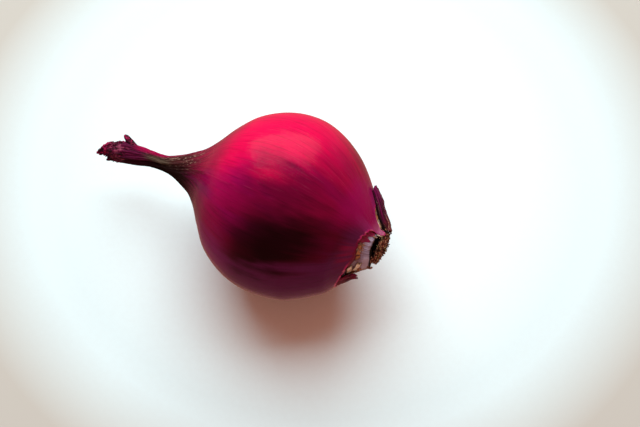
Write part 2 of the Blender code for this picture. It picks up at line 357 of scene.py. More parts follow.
class SkinGrain:
    """Where a point is along and round the bulb, and streaks along it, from broad to fine."""

    def __init__(self, paint):
        grain = paint.grain()
        self.along, self.far, self.up = grain
        self.past = self.along * -1
        self.crown = self.far * 0.951 + self.up * 0.309
        self.clouds = paint.streaks(grain, 0.5, 1.6, seed=2.0)
        self.broad = paint.streaks(grain, 0.55, 5.0, 2.5, 0.55, seed=7.0)
        self.bands = paint.streaks(grain, 0.7, 12.0, seed=11.0)
        self.lines = paint.streaks(grain, 0.8, 40.0, 2.0, 0.6, seed=17.0)
        self.hairs = paint.streaks(grain, 1.3, 110.0, 1.0, seed=23.0)
        self.tinge = paint.streaks(grain, 0.4, 4.0, seed=31.0)
        self.flecks = paint.streaks(grain, 6.0, 10.0, 3.0, 0.7, seed=41.0)
        self.ragged = self.bands.swing(1.2) + self.lines.swing(0.8)
        self.drying = (self.past + self.ragged).rise(2.8, 3.7)
        self.waist = (self.past + self.ragged).rise(3.4, 4.2)
        flared = (self.past + self.ragged * 0.6).rise(5.3, 6.0)
        self.flared = flared.most(self.crown.rise(0.55, 0.85) * self.past.rise(4.9, 5.3))


def body_colour(paint, skin):
    """Painted light: bright pink along the far upper side, which faces the window, darkening in
    streaks with painted shade to a nearly black painted-shade spot on the near side. The lower
    side is purple, partly its own colour and partly a painted reflection of the pale table, and
    the base end evenly crimson."""
    along, broad, bands = skin.along, skin.broad, skin.bands
    # side measures how far a point faces the window light behind and above it; the colour follows
    # it as painted light and shade.
    side = skin.far * 0.743 + skin.up * 0.669 - along * 0.12
    painted_light_streaked = side + skin.clouds.swing(0.3) + broad.swing(0.55) + bands.swing(0.25)
    to_base = along.rise(0.5, 2.1)
    to_neck = (skin.past + skin.clouds.swing(1.2)).rise(0.2, 1.8)
    bright = paint.mix(to_base, (0.60, 0.001, 0.050), (0.33, 0.001, 0.034))
    middle = paint.mix(to_neck, (0.125, 0.0006, 0.020), (0.29, 0.0008, 0.054))
    middle = paint.mix(to_base, middle, (0.19, 0.0008, 0.026))
    deep = paint.mix(to_base, (0.044, 0.0005, 0.008), (0.098, 0.0008, 0.014))
    # Painted light and shade: bright where the side faces the window, deep where it faces away.
    colour = paint.mix(painted_light_streaked.rise(0.42, 0.95), middle, bright)
    colour = paint.mix(painted_light_streaked.rise(0.5, 0.05) * (1 - to_neck * 0.7), colour, deep)
    magenta = paint.times(colour, (0.92, 1.0, 1.2))
    colour = paint.mix(skin.tinge.rise(0.42, 0.6) * side.rise(1.0, 0.5), colour, magenta)
    # The purple lower side is partly the skin's own colour and partly a painted reflection of the
    # pale table.
    underside_painted_reflection = (painted_light_streaked - to_neck * 0.35).rise(-0.25, -0.6)
    purple = paint.mix(to_neck, (0.102, 0.009, 0.060), (0.19, 0.010, 0.098))
    colour = paint.mix(underside_painted_reflection, colour, purple)
    # Painted shade: a nearly black spot on the near side, facing away from the window.
    painted_shade_spot = painted_light_streaked.rise(0.38, -0.1) * painted_light_streaked.rise(-0.55, -0.2)
    blurred_along = along + broad.swing(1.4)
    painted_shade_spot = painted_shade_spot * blurred_along.rise(-1.0, 0.7) * blurred_along.rise(3.1, 1.5)
    colour = paint.mix(painted_shade_spot * 0.9, colour, (0.007, 0.0002, 0.001))
    darker = paint.times(colour, (0.45, 0.5, 0.5))
    colour = paint.mix(skin.lines.rise(0.5, 0.72) * 0.4, colour, darker)
    # Pale hairs only on the side towards the window: partly painted sheen.
    paler = paint.mix(0.12, colour, (0.9, 0.25, 0.4))
    return paint.mix(skin.hairs.rise(0.6, 0.75) * side.rise(0.2, 0.8) * 0.4, colour, paler)


def with_base_end(paint, skin, colour):
    """The far side of the base end is even magenta, the near side darkened with painted shade and
    carrying rusty streaks.
    """
    along, far = skin.along, skin.far
    by_base = (along + skin.broad.swing(0.8)).rise(2.1, 2.8) * far.rise(-0.4, 0.2)
    colour = paint.mix(by_base * 0.8, colour, (0.26, 0.0008, 0.062))
    # Painted shade: the near side of the base end, away from the window, is darkened.
    near_side_shade = along.rise(2.5, 3.1) * far.rise(0.1, -0.35) * far.rise(-0.9, -0.7)
    colour = paint.mix(near_side_shade, colour, paint.times(colour, (0.6, 0.8, 0.85)))
    by_rust = along.rise(2.7, 3.1) * far.rise(-0.45, -0.6) * far.rise(-0.95, -0.8)
    rusty = by_rust * (0.2 + skin.bands.rise(0.4, 0.6) * 0.7)
    return paint.mix(rusty, colour, (0.24, 0.001, 0.026))


def with_shoulder(paint, skin, colour):
    """Towards the neck the skin dims, then dries to mauve with dark creases, painted lighter along
    the crown, towards the window, and darker with shade away from it.
    """
    dimmed = paint.times(colour, (0.5, 0.6, 0.7))
    colour = paint.mix((skin.past + skin.broad.swing(1.2)).rise(1.9, 3.0), colour, dimmed)
    # Painted light and shade: the dried mauve is lit along the crown, towards the window, and dark
    # away from it.
    lit = (skin.crown + skin.bands.swing(0.6)).rise(-0.2, 0.7)
    mauve = paint.mix(lit, (0.032, 0.002, 0.008), (0.16, 0.008, 0.026))
    return paint.mix(skin.drying * 0.75, colour, mauve)


def with_neck(paint, skin, colour):
    """The waist is dark maroon, painted black with shade below and crimson with light along its
    crown, with pale flecks and one olive streak. Past it the neck is purple, painted crimson with
    light along the far side and dark with shade along the near one, and its folds are darkened
    with painted shade."""
    past, crown, bands, lines = skin.past, skin.crown, skin.bands, skin.lines
    maroon = paint.mix(lines.rise(0.44, 0.58), (0.008, 0.002, 0.003), (0.10, 0.022, 0.022))
    # Painted light and shade: upper is the side towards the window, and the waist is painted black
    # with shade away from it.
    upper = (crown + bands.swing(0.7)).rise(-0.4, 0.35)
    maroon = paint.mix(upper, (0.007, 0.003, 0.002), maroon)
    streak = (past + skin.ragged * 0.5).rise(4.5, 5.1) * (past + skin.ragged * 0.6).rise(6.1, 5.5)
    streak = streak * (crown + bands.swing(0.3)).rise(-0.4, 0.0) * crown.rise(0.65, 0.35)
    olive = paint.mix(lines.rise(0.4, 0.6), (0.045, 0.038, 0.022), (0.17, 0.11, 0.075))
    maroon = paint.mix(streak * 0.85, maroon, olive)
    flecks = skin.flecks.rise(0.55, 0.63) * bands.rise(0.4, 0.55)
    maroon = paint.mix(flecks * upper * 0.75, maroon, (0.42, 0.26, 0.19))
    # Painted light: crimson along the crown of the waist, towards the window.
    maroon = paint.mix(crown.rise(0.72, 0.95) * 0.7, maroon, (0.28, 0.006, 0.045))
    colour = paint.mix(skin.waist * 0.92, colour, maroon)

    purple = paint.mix(lines.rise(0.38, 0.62), (0.030, 0.003, 0.012), (0.14, 0.004, 0.042))
    # Painted light: crimson along the far side of the neck, towards the window.
    band = (crown + bands.swing(0.4)).rise(0.4, 0.85) * past.rise(6.5, 6.1)
    purple = paint.mix(band, purple, (0.34, 0.001, 0.050))
    # Painted shade: dark along the near side of the neck, away from the window.
    below = (crown + bands.swing(0.8)).rise(-0.2, -0.8)
    purple = paint.mix(below, purple, (0.030, 0.003, 0.011))
    purple = paint.mix(skin.hairs.rise(0.6, 0.75) * 0.3, purple, (0.22, 0.05, 0.08))
    colour = paint.mix(skin.flared * (1 - streak * 0.8), colour, purple)
    # Painted shade: the folds darkened in their hollows towards the neck.
    painted_fold_shade = paint.amount("fold").rise(0.1, -0.35) * past.rise(2.7, 3.6)
    return paint.mix(painted_fold_shade * 0.8, colour, (0.010, 0.002, 0.003))


def with_torn_margin(paint, skin, colour):
    """The torn margin is thin, so it turns pale and then bright pink."""
    along, far, up, bands, lines = skin.along, skin.far, skin.up, skin.bands, skin.lines
    to_edge = paint.amount("to_edge")
    margin = (to_edge + lines.swing(4.0) + bands.swing(4.0)).rise(6.5, 0.8)
    faded = paint.mix(far.rise(-0.2, 0.3), (0.12, 0.012, 0.062), (0.27, 0.022, 0.125))
    colour = paint.mix(margin * 0.55, colour, faded)
    thin = far.rise(0.95, 0.99) * along.rise(1.9, 2.6)
    colour = paint.mix(thin * 0.8, colour, (0.70, 0.14, 0.25))
    tongue = along.rise(3.3, 3.7) * far.rise(0.2, 0.4)
    colour = paint.mix(tongue * 0.6, colour, (0.30, 0.085, 0.13))
    rim = (to_edge + lines.swing(0.9)).rise(0.75, 0.15)
    lip = paint.mix(bands.rise(0.5, 0.6) * 0.5, (0.52, 0.015, 0.13), (0.66, 0.20, 0.22))
    lip = paint.mix(up.rise(0.4, 0.55) * far.rise(-0.3, -0.45), lip, (0.16, 0.003, 0.024))
    return paint.mix(rim * 0.85, colour, lip)


def bulb_paint():
    """Glossy magenta skin with streaks along the bulb, drying out over the shoulder and neck."""
    paint = Paint("glossy red onion skin")
    skin = SkinGrain(paint)
    colour = body_colour(paint, skin)
    for further in (with_base_end, with_shoulder, with_neck, with_torn_margin):
        colour = further(paint, skin, colour)

    dry = (skin.drying * 0.5 + skin.waist * 0.5).most(skin.flared)
    height = skin.lines.swing(0.6) + skin.hairs.swing(0.3) + skin.bands.swing(1.3)
    height = height * (0.3 + dry * 1.7) + (skin.broad - 0.5) * (1 - dry) * 1.4
    surface = paint.bump(height, 0.22 * MM, 0.8)
    grit = paint.noise(paint.place(), 900.0, 3.0, 0.6)
    surface = paint.bump(grit * (dry * 0.9 + 0.03), 0.25 * MM, 0.6, surface)
    paint.set(
        base_color=colour,
        roughness=0.19 + dry * 0.42 + skin.bands.swing(0.08),
        normal=surface,
        specular_ior_level=0.06,
    )
    return paint.material


def scale_paint():
    """The pale inner scale, painted near black with shade where it turns down into the hollow."""
    paint = Paint("pale inner scale")
    grain = paint.grain()
    along, far, up = grain
    lines = paint.streaks(grain, 1.2, 34.0, 2.0, 0.6, seed=3.0)
    blots = paint.streaks(grain, 5.0, 12.0, 2.0, 0.6, seed=8.0)
    spots = paint.noise(paint.place(), 1500.0, 2.0, 0.6)
    colour = paint.mix(lines.rise(0.35, 0.65), (0.20, 0.13, 0.18), (0.34, 0.24, 0.31))
    colour = paint.mix(blots.rise(0.58, 0.68) * 0.4, colour, (0.22, 0.10, 0.08))

    # Its lower lip is nearly white with a brown fringe, and its far side is dried to tan.
    wavy_far = far + lines.swing(0.2)
    lip = (along + lines.swing(0.2)).rise(3.5, 3.62) * wavy_far.rise(-0.8, -0.9)
    colour = paint.mix(lip * 0.5, colour, (0.56, 0.42, 0.52))
    fringe = (up + lines.swing(0.3)).rise(0.0, -0.18) * far.rise(-0.6, -0.8)
    fringe = fringe * along.rise(3.3, 3.5)
    frayed = paint.mix(spots.rise(0.45, 0.6), (0.12, 0.025, 0.02), (0.46, 0.27, 0.19))
    colour = paint.mix(fringe * 0.9, colour, frayed)
    tan = paint.mix(spots.rise(0.42, 0.6), (0.10, 0.045, 0.03), (0.46, 0.27, 0.14))
    colour = paint.mix(far.rise(0.6, 0.72), colour, tan)

    # Rust borders the torn skin, and a crimson layer is left past its edge.
    rust = (along + lines.swing(0.3)).rise(3.5, 3.4) * far.rise(-0.4, -0.5)
    rust = rust * wavy_far.rise(-0.84, -0.74)
    rusty = paint.mix(spots.rise(0.45, 0.6), (0.10, 0.018, 0.012), (0.42, 0.16, 0.05))
    colour = paint.mix(rust * 0.9, colour, rusty)
    past_layer = paint.amount("fold") + blots.swing(0.7)
    crimson = paint.mix(lines.rise(0.35, 0.6), (0.10, 0.002, 0.018), (0.24, 0.006, 0.045))
    colour = paint.mix(past_layer.rise(0.5, 0.1) * 0.85, colour, (0.05, 0.008, 0.010))
    colour = paint.mix(past_layer.rise(0.15, -0.05), colour, crimson)
    # Painted shade: near black, mottled dark brown, down in the hollow.
    hollow = (paint.amount("to_edge") * -1 + blots.swing(1.0)).rise(5.5, 6.3)
    hollow_shade = paint.mix(blots.rise(0.55, 0.7), (0.004, 0.002, 0.002), (0.08, 0.03, 0.012))
    colour = paint.mix(hollow, colour, hollow_shade)
    surface = paint.bump(lines + blots * 0.6, 0.25 * MM, 0.8)
    paint.set(
        base_color=colour,
        roughness=0.5 + hollow * 0.4,
        normal=surface,
        specular_ior_level=0.2,
    )
    return paint.material


def fray_paint():
    """The dry leaf ends of the neck: dark folds, partly their own colour and partly painted shade
    between the overlapping strips, and crumbling crimson edges.
    """
    paint = Paint("frayed neck ends")
    place = paint.place()
    shape = paint.noise(place, 420.0, 3.0, 0.6)
    fine = paint.noise(place, 1500.0, 3.0, 0.65)
    _, across, _ = paint.grain()
    # The dark creases are partly the leaves' own colour and partly painted shade, darker towards
    # each strip's edges where the strips overlap.
    creases = (shape + fine.swing(0.5) + across * across * -0.1).rise(0.4, 0.6)
    ahead, aside, _ = paint.parts(place)
    tip = (ahead * -1000 + shape.swing(6)).rise(71.0, 74.5)
    tip = tip.most((aside * 1000).rise(-3.6, -2.6) * 0.75)
    dull = paint.mix(shape.rise(0.5, 0.6), (0.15, 0.002, 0.042), (0.20, 0.030, 0.065))
    bright = paint.mix(tip, dull, (0.42, 0.006, 0.075))
    colour = paint.mix(creases, (0.020, 0.002, 0.007), bright)
    colour = paint.mix(fine.rise(0.58, 0.72) * 0.5, colour, (0.36, 0.03, 0.06))
    surface = paint.bump(fine, 0.3 * MM, 0.9)
    paint.set(base_color=colour, roughness=0.62, normal=surface, specular_ior_level=0.1)
    return paint.material


def cork_paint():
    """The crumbling brown cork of the root plate, painted black with shade down in the hollow."""
    paint = Paint("crumbling root cork")
    place = paint.place()
    lumps = paint.noise(place, 620.0, 3.0, 0.6)
    crumbs = paint.noise(place, 1700.0, 3.0, 0.65)
    patches = paint.noise(place, 350.0, 2.0, 0.5)
    colour = paint.mix(lumps.rise(0.42, 0.58), (0.018, 0.005, 0.004), (0.20, 0.045, 0.025))
    pale = paint.mix(patches.rise(0.47, 0.6), (0.64, 0.28, 0.16), (0.50, 0.38, 0.14))
    colour = paint.mix(crumbs.rise(0.52, 0.62) * 0.9, colour, pale)
    colour = paint.mix(crumbs.rise(0.47, 0.40) * 0.85, colour, (0.012, 0.004, 0.004))
    # Painted shade: the cork turns black down in the hollow.
    cork_hollow_shade = (paint.amount("to_edge") + lumps.swing(1.2)).rise(0.3, -0.3)
    colour = paint.mix(cork_hollow_shade, colour, (0.004, 0.002, 0.002))
    surface = paint.bump(lumps + crumbs, 0.5 * MM, 1.0)
    paint.set(base_color=colour, roughness=0.9, normal=surface, specular_ior_level=0.1)
    return paint.material


def loose_skin_paint(name, deep, light, far_light, pale, pale_share, shade_from):
    """Papery dry skin with veins along it, painted black with shade where it curls in towards the
    bulb.
    """
    paint = Paint(name)
    along, across, side = paint.grain()
    wander = paint.noise(paint.vector(along * 3.0, across * 2.0, side), 1.0, 2.0, 0.5)
    veins = paint.noise(paint.vector(along * 1.2, across * 8.0, side), 1.0, 3.0, 0.6)
    spread = across * 26.0 + wander * 9.0
    threads = paint.noise(paint.vector(along * 1.5, spread, side), 1.0, 2.0, 0.6)
    lit = paint.mix((along + wander.swing(0.4)).rise(0.35, 0.6), light, far_light)
    colour = paint.mix(veins.rise(0.4, 0.6), deep, lit)
    colour = paint.mix(threads.rise(0.6, 0.7) * pale_share, colour, pale)
    # Painted shade: near black where the sheet curls in.
    shaded = (across + veins.swing(0.5)).rise(shade_from, shade_from + 0.16)
    colour = paint.mix(shaded, colour, (0.004, 0.001, 0.002))
    fine = paint.noise(paint.place(), 1400.0, 3.0, 0.6)
    surface = paint.bump(veins * 0.5 + threads * 0.5 + fine * 0.3, 0.25 * MM, 0.9)
    paint.set(base_color=colour, roughness=0.6, normal=surface, specular_ior_level=0.15)
    return paint.material


def scrap_paint():
    """Pale gold dried skin with brown edges, down to crumbs that are brown all over."""
    paint = Paint("dried gold scraps")
    place = paint.place()
    spots = paint.noise(place, 1100.0, 3.0, 0.6)
    clouds = paint.noise(place, 420.0, 2.0, 0.5)
    gold = paint.mix(spots.rise(0.4, 0.65), (0.78, 0.56, 0.38), (1.0, 0.88, 0.70))
    brown = paint.mix(clouds.rise(0.4, 0.6), (0.10, 0.025, 0.014), (0.42, 0.16, 0.06))
    browned = (paint.amount("tone") + clouds.swing(1.2)).rise(0.2, 0.8)
    colour = paint.mix(browned, gold, brown)
    edge = (paint.amount("rim") + spots.swing(0.5)).rise(0.72, 0.95)
    colour = paint.mix(edge * 0.8, colour, (0.13, 0.035, 0.02))
    surface = paint.bump(spots + clouds, 0.3 * MM, 0.8)
    paint.set(base_color=colour, roughness=0.65, normal=surface, specular_ior_level=0.2)
    return paint.material


def added(name, data):
    obj = bpy.data.objects.new(name, data)
    bpy.context.scene.collection.objects.link(obj)
    return obj


def piece(name, bm, material, stands_for):
    """Turns a bmesh into a piece of the onion that takes the place of a plain solid."""
    bmesh.ops.recalc_face_normals(bm, faces=bm.faces)
    mesh = bpy.data.meshes.new(name)
    bm.to_mesh(mesh)
    bm.free()
    mesh.materials.append(material)
    mesh.shade_smooth()
    obj = added(name, mesh)
    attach(obj, "root")
    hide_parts(stands_for)
    return obj


def turned(profile, sides):
    """A body turned round the X axis from (x, radius, layer), where vertices keep x and layer."""
    bm = bmesh.new()
    station = bm.verts.layers.float.new("station")
    layer = bm.verts.layers.int.new("layer")
    bm.verts.layers.float_vector.new("grain")
    bm.verts.layers.float.new("to_edge")
    bm.verts.layers.float.new("fold")
    line = []
    for x, radius, number in profile:
        vert = bm.verts.new((x, 0.0, radius))
        vert[station] = x
        vert[layer] = number
        line.append(vert)
    edges = [bm.edges.new(pair) for pair in zip(line, line[1:])]
    bmesh.ops.spin(
        bm, geom=line + edges, cent=(0, 0, 0), axis=(1, 0, 0), angle=math.tau, steps=sides,
        use_merge=True,
    )
    bmesh.ops.remove_doubles(bm, verts=bm.verts, dist=0.0002 * MM)
    return bm


def steps(start, end, count):
    return [start + (end - start) * i / count for i in range(count)]


OUTSIDE, LIP, INSIDE, CORE = range(4)
SKIN_SIDES = 288


def make_bulb_skin(material):
    """The whole outer skin, closed inside the bulb where nothing shows it."""
    edge = 32.0 * MM
    stations = steps(NECK_END, -34 * MM, 72)
    stations += steps(-34 * MM, TORN_EDGE_START, 52)
    stations += steps(TORN_EDGE_START, edge, 26) + [edge]
    profile = [(NECK_END - 0.4 * MM, 0.0, CORE), (NECK_END - 0.2 * MM, 2.4 * MM, CORE)]
    profile += [(x, outline(x), OUTSIDE) for x in stations]
    profile.append((edge, outline(edge) - 0.3 * MM, LIP))
    profile += [(x, outline(x) - 0.5 * MM, INSIDE) for x in (30 * MM, 27 * MM, 24 * MM)]
    profile += [(TORN_EDGE_START, 15 * MM, CORE), (TORN_EDGE_START, 0.0, CORE)]
    bm = turned(profile, SKIN_SIDES)
    station = bm.verts.layers.float["station"]
    layer = bm.verts.layers.int["layer"]
    grain = bm.verts.layers.float_vector["grain"]
    to_edge = bm.verts.layers.float["to_edge"]
    fold = bm.verts.layers.float["fold"]
    for vert in bm.verts:
        x = vert[station]
        kind = vert[layer]
        angle = math.atan2(vert.co.z, vert.co.y)
        torn = torn_edge(angle)
        if x > TORN_EDGE_START:
            share = (x - TORN_EDGE_START) / (edge - TORN_EDGE_START)
            x = TORN_EDGE_START + share * (torn - TORN_EDGE_START)
        if kind != CORE:
            carved = wrinkles(x, angle)
            radius = skin_radius(x, angle) + carved
            gap = max(torn - x, 0.0)
            radius += 0.3 * MM * math.exp(-gap / (0.8 * MM)) * (0.8 + rough(angle, 40, 6.0))
            if kind == LIP:
                radius -= SKIN_THICKNESS
            if kind == INSIDE:
                radius -= SKIN_THICKNESS + 0.1 * MM
            vert.co = round_axis(x, radius, angle)
            vert[fold] = (relief(x, angle) + carved) / MM
        vert[to_edge] = (torn - x) / MM
        vert[grain] = (x / (10 * MM), math.cos(angle), math.sin(angle))
        vert.co += lean(x)
    bm.transform(LAID_DOWN)
    for vert in bm.verts:
        vert.co.z = max(vert.co.z, 0.0)
    piece("bulb_skin", bm, material, "bulb")


# The edge of the crimson layer that is left on the inner scale, past the torn outer skin.
LAYER_EDGE = (
    (0, 30.0), (44, 31.0), (60, 36.0), (75, 36.1), (90, 35.9), (96, 34.6), (101, 34.5),
    (105, 35.7), (109, 35.7), (113, 34.1), (119, 33.5), (136, 33.5), (152, 33.2), (170, 31.8),
    (190, 29.8), (300, 30.0), (360, 30.0),
)
layer_line = smooth_curve(LAYER_EDGE)


def scale_radius(x, angle):
    torn = torn_edge(angle)
    swollen = near_side(angle)
    share = smooth_step(torn, CREST, x) if x > torn else 0.0
    step = SKIN_STEP + SWOLLEN_STEP * swollen
    return outline(x) + fullness(x) * swollen - step * (1 - share**2)


SCALE_START = 23 * MM
SCALE_SIDES = 200
HOLLOW_STEPS = 18
DRAWN_OUT = 1.0 * MM


def make_inner_scale(material):
    """The pale scale that the torn skin bares, and the hollow that the root plate stands in."""
    stations = steps(SCALE_START, CREST, 34) + [CREST]
    hollow = smooth_path(((36.8, 6.0),) + HOLLOW_MM)
    profile = [(SCALE_START, 0.0, CORE)]
    profile += [(x, outline(x) - SKIN_STEP, OUTSIDE) for x in stations]
    profile += [(*hollow((i + 1) / HOLLOW_STEPS), INSIDE) for i in range(HOLLOW_STEPS)]
    bm = turned(profile, SCALE_SIDES)
    station = bm.verts.layers.float["station"]
    layer = bm.verts.layers.int["layer"]
    grain = bm.verts.layers.float_vector["grain"]
    to_edge = bm.verts.layers.float["to_edge"]
    bared = bm.verts.layers.float["fold"]
    for vert in bm.verts:
        x = vert[station]
        kind = vert[layer]
        radius, angle = from_axis(vert.co)
        if kind == OUTSIDE:
            radius = scale_radius(x, angle)
            radius += 0.12 * MM * rough(angle, 60, 2.0, x / (4 * MM))
        if kind == INSIDE and radius > 2 * MM:
            radius += 0.4 * MM * rough(angle, 30, 8.0, x / (1.5 * MM))
            x += 0.35 * MM * rough(angle, 26, 1.0)
        vert[to_edge] = (31 * MM - x) / MM if kind == OUTSIDE else -9.0
        degrees = math.degrees(angle) % 360
        drawn_out = smooth_step(126, 160, degrees) * (1 - smooth_step(212, 240, degrees))
        if kind != CORE:
            x += DRAWN_OUT * drawn_out * smooth_step(33 * MM, CREST, x)
        vert[bared] = x / MM - layer_line(degrees)
        vert[grain] = (x / (10 * MM), math.cos(angle), math.sin(angle))
        vert.co = round_axis(x, radius, angle)
    bm.transform(LAID_DOWN)
    piece("bared_inner_scale", bm, material, "bulb")


def strip(bm, place, columns, rows, seed=0.0):
    """Adds a sheet to bm. place(across, along) puts each point, from -1 to 1 and from 0 to 1."""
    grain = bm.verts.layers.float_vector.get("grain")
    grain = grain or bm.verts.layers.float_vector.new("grain")
    made = bmesh.ops.create_grid(bm, x_segments=columns, y_segments=rows, size=1.0)
    for vert in made["verts"]:
        across, along = vert.co.x, (vert.co.y + 1) / 2
        vert[grain] = (along + seed, across, seed)
        vert.co = LAID_DOWN @ place(across, along)


def thicken(obj, thickness):
    body = obj.modifiers.new("thickness", "SOLIDIFY")
    body.thickness = thickness
    body.offset = 0.0


# How far the withered leaf ends reach, in degrees round the axis and millimetres along it.
LEAF_ENDS_MM = (
    (18, -70.2), (40, -71.6), (62, -73.4), (90, -75.6), (112, -76.4), (136, -76.7),
    (156, -75.6), (172, -73.2), (198, -72.6), (230, -72.2), (270, -74.0), (310, -73.0),
    (340, -70.8),
)
LEAF_ROOT = -63.0 * MM

# The blunt nose that they close up to: millimetres along the axis, radius and shift sideways.
NOSE_MM = (
    (-77.0, 0.0, 2.1), (-76.9, 0.8, 2.1), (-76.3, 1.7, 1.6), (-75.3, 2.4, 0.7),
    (-73.8, 2.7, 0.0), (-72.0, 3.1, 0.1), (-70.3, 3.4, 0.25), (-68.6, 3.7, 0.2),
    (-66.5, 3.5, 0.1), (-63.0, 2.9, 0.0),
)
NOSE_STEPS = 40
NOSE_SIDES = 72
NOSE_TURN = Vector((0, 0.95, 0.3))
LEAF_COUNT = 40
TIP_CRUMBS = 360

# The two stubs that stand out of the neck: start along the axis, degrees round it, millimetres out
# from it, slope, length, width and a share of fullness.
STUBS = (
    (-61.9 * MM, 28, 1.6, 0.43, 8.6 * MM, 2.3 * MM, 1.0),
    (-69.6 * MM, 196, 2.9, 0.5, 3.6 * MM, 1.0 * MM, 0.5),
)

leaf_reach = smooth_curve(
    sorted([(a + turn, x) for a, x in LEAF_ENDS_MM for turn in (-360, 0, 360)])
)
nose_radius = smooth_curve([(x * MM, r * MM) for x, r, _ in NOSE_MM])
nose_shift = smooth_curve([(x * MM, aside * MM) for x, _, aside in NOSE_MM])


def on_nose(x, radius, angle):
    """A point round the nose, which turns to the near side as it closes."""
    return round_axis(x, radius, angle) + lean(x) - nose_shift(x) * NOSE_TURN


def nose_body():
    """The blunt nose itself, crumpled all over."""
    first, last = NOSE_MM[0][0], NOSE_MM[-1][0]
    stations = [first + (last - first) * i / NOSE_STEPS for i in range(NOSE_STEPS + 1)]
    profile = [(x * MM, nose_radius(x * MM) * 0.9, OUTSIDE) for x in stations]
    bm = turned(profile + [(last * MM, 0.0, CORE)], NOSE_SIDES)
    for vert in bm.verts:
        radius, angle = from_axis(vert.co)
        place = on_nose(vert.co.x, radius, angle)
        share = smooth_step(last * MM, -69 * MM, vert.co.x) * smooth_step(0.0, 1 * MM, radius)
        coarse = noise.noise_vector(place / (1.5 * MM)) * 0.6
        fine = noise.noise_vector(place / (0.6 * MM)) * 0.4
        vert.co = LAID_DOWN @ (place + (coarse + fine) * share * MM)
    return bm


def add_leaf_end(bm, index):
    """One withered strip laid over the nose; the strips end here and there round it."""
    degrees = index * 137.5 % 360
    reach = leaf_reach(degrees) + random.uniform(-0.3, 1.6) * (index > 12)
    width = random.uniform(1.3, 2.8)
    lift = random.uniform(-0.35, 0.2)
    curl = random.uniform(-0.4, 0.4)
    middle = math.radians(degrees)
    length = reach * MM - LEAF_ROOT

    def place(across, along):
        jag = wave(across * 2.6, index * 3.1, 0.0)
        x = LEAF_ROOT + length * along * (1 - 0.07 * (0.6 + jag) * along**3)
        half = 0.5 * width * MM * math.sqrt(max(1 - (max(along - 0.7, 0) / 0.32) ** 2, 0.12))
        radius = nose_radius(x) + (lift + curl * across * along**2) * MM
        radius += 0.6 * MM * wave(across * 1.5, along * 6, index * 1.7)
        radius += 0.4 * MM * wave(across * 4, along * 17, index * 2.9) * along
        radius = max(radius, 0.3 * MM)
        angle = middle + across * half / max(radius, 1.2 * MM)
        return on_nose(x, radius, angle)

    strip(bm, place, 7, 18, index)


def add_stub(bm, number, stub):
    """One stub that stands out of the neck, closed from an upper and a lower half."""
    start, degrees, height, slope, length, width, share = stub
    out = round_axis(0.0, 1.0, math.radians(degrees))
    spine = (Vector((-0.9, 0, 0)) + out * slope).normalized()
    side = spine.cross(Vector((0, 0, 1))).normalized()
    root = Vector((start, 0, 0)) + lean(start) + out * height * MM
    root -= nose_shift(start) * NOSE_TURN

    def half_place(lift):
        def place(across, along):
            rounding = math.sqrt(max(1 - (max(along - 0.72, 0) / 0.29) ** 2, 0.05))
            ripple = wave(across * 2, along * 5, 3.0)
            half = 0.5 * width * rounding * (1.05 - 0.12 * along + 0.12 * ripple)
            bulge = (0.5 * (1 - across**2) * rounding + 0.12 * ripple) * lift * MM
            point = root + spine * length * along + side * across * half
            return point + Vector((0, 0, bulge))

        return place

    for lift in (share, -share):
        strip(bm, half_place(lift), 9, 18, 50 + 2 * number + lift)


def make_frayed_ends(material):
    """Withered leaf ends that close round the neck's tip, the stubs that stand out, and crumbs."""
    bm = nose_body()
    random.seed(41)
    for index in range(LEAF_COUNT):
        add_leaf_end(bm, index)
    for number, stub in enumerate(STUBS):
        add_stub(bm, number, stub)
    random.seed(43)
    for _ in range(TIP_CRUMBS):
        degrees = random.uniform(0, 360)
        share = random.random() ** 1.5
        x = (leaf_reach(degrees) + 0.1 + 3.6 * share) * MM
        radius = nose_radius(x) + random.uniform(-0.3, 0.75) * MM
        centre = LAID_DOWN @ on_nose(x, radius, math.radians(degrees))
        crumb(bm, centre, random.uniform(0.12, 0.4) * MM)
    thicken(piece("frayed_neck_ends", bm, material, "bulb"), 0.3 * MM)


PLATE_MM = (
    (33.75, 0.0), (33.8, 2.0), (35.6, 2.6), (37.4, 3.0), (38.3, 4.2), (38.8, 5.5), (39.0, 6.0),
    (39.4, 5.9), (39.9, 4.9), (40.4, 3.0), (40.6, 0.0),
)


def crumb(bm, centre, size):
    """Adds a small rough grain to bm."""
    turn = Matrix.Rotation(random.uniform(0, 6), 4, Vector((1, 2, 0.5)).normalized())
    squash = Matrix.Diagonal((1.0, random.uniform(0.45, 1), random.uniform(0.35, 0.9), 1.0))
    matrix = Matrix.Translation(centre) @ turn @ squash
    bmesh.ops.create_icosphere(bm, subdivisions=1, radius=size, matrix=matrix)


PLATE_STEPS = 64
PLATE_SIDES = 180
ROOT_STUBS = 90
RING_CRUMBS = 420


def crumbled_plate():
    """The root plate's own body, rough all over and most of all at its rim."""
    path = smooth_path(PLATE_MM)
    profile = [(*path(i / PLATE_STEPS), OUTSIDE) for i in range(PLATE_STEPS + 1)]
    bm = turned(profile, PLATE_SIDES)
    for vert in bm.verts:
        radius = math.hypot(vert.co.y, vert.co.z)
        amount = smooth_step(3 * MM, 6 * MM, radius) * 0.6 + 0.25
        coarse = noise.noise_vector(vert.co / (1.3 * MM))
        fine = noise.noise_vector(vert.co / (0.45 * MM))
        vert.co += (coarse * 0.8 + fine * 0.45) * amount * MM
    return bm


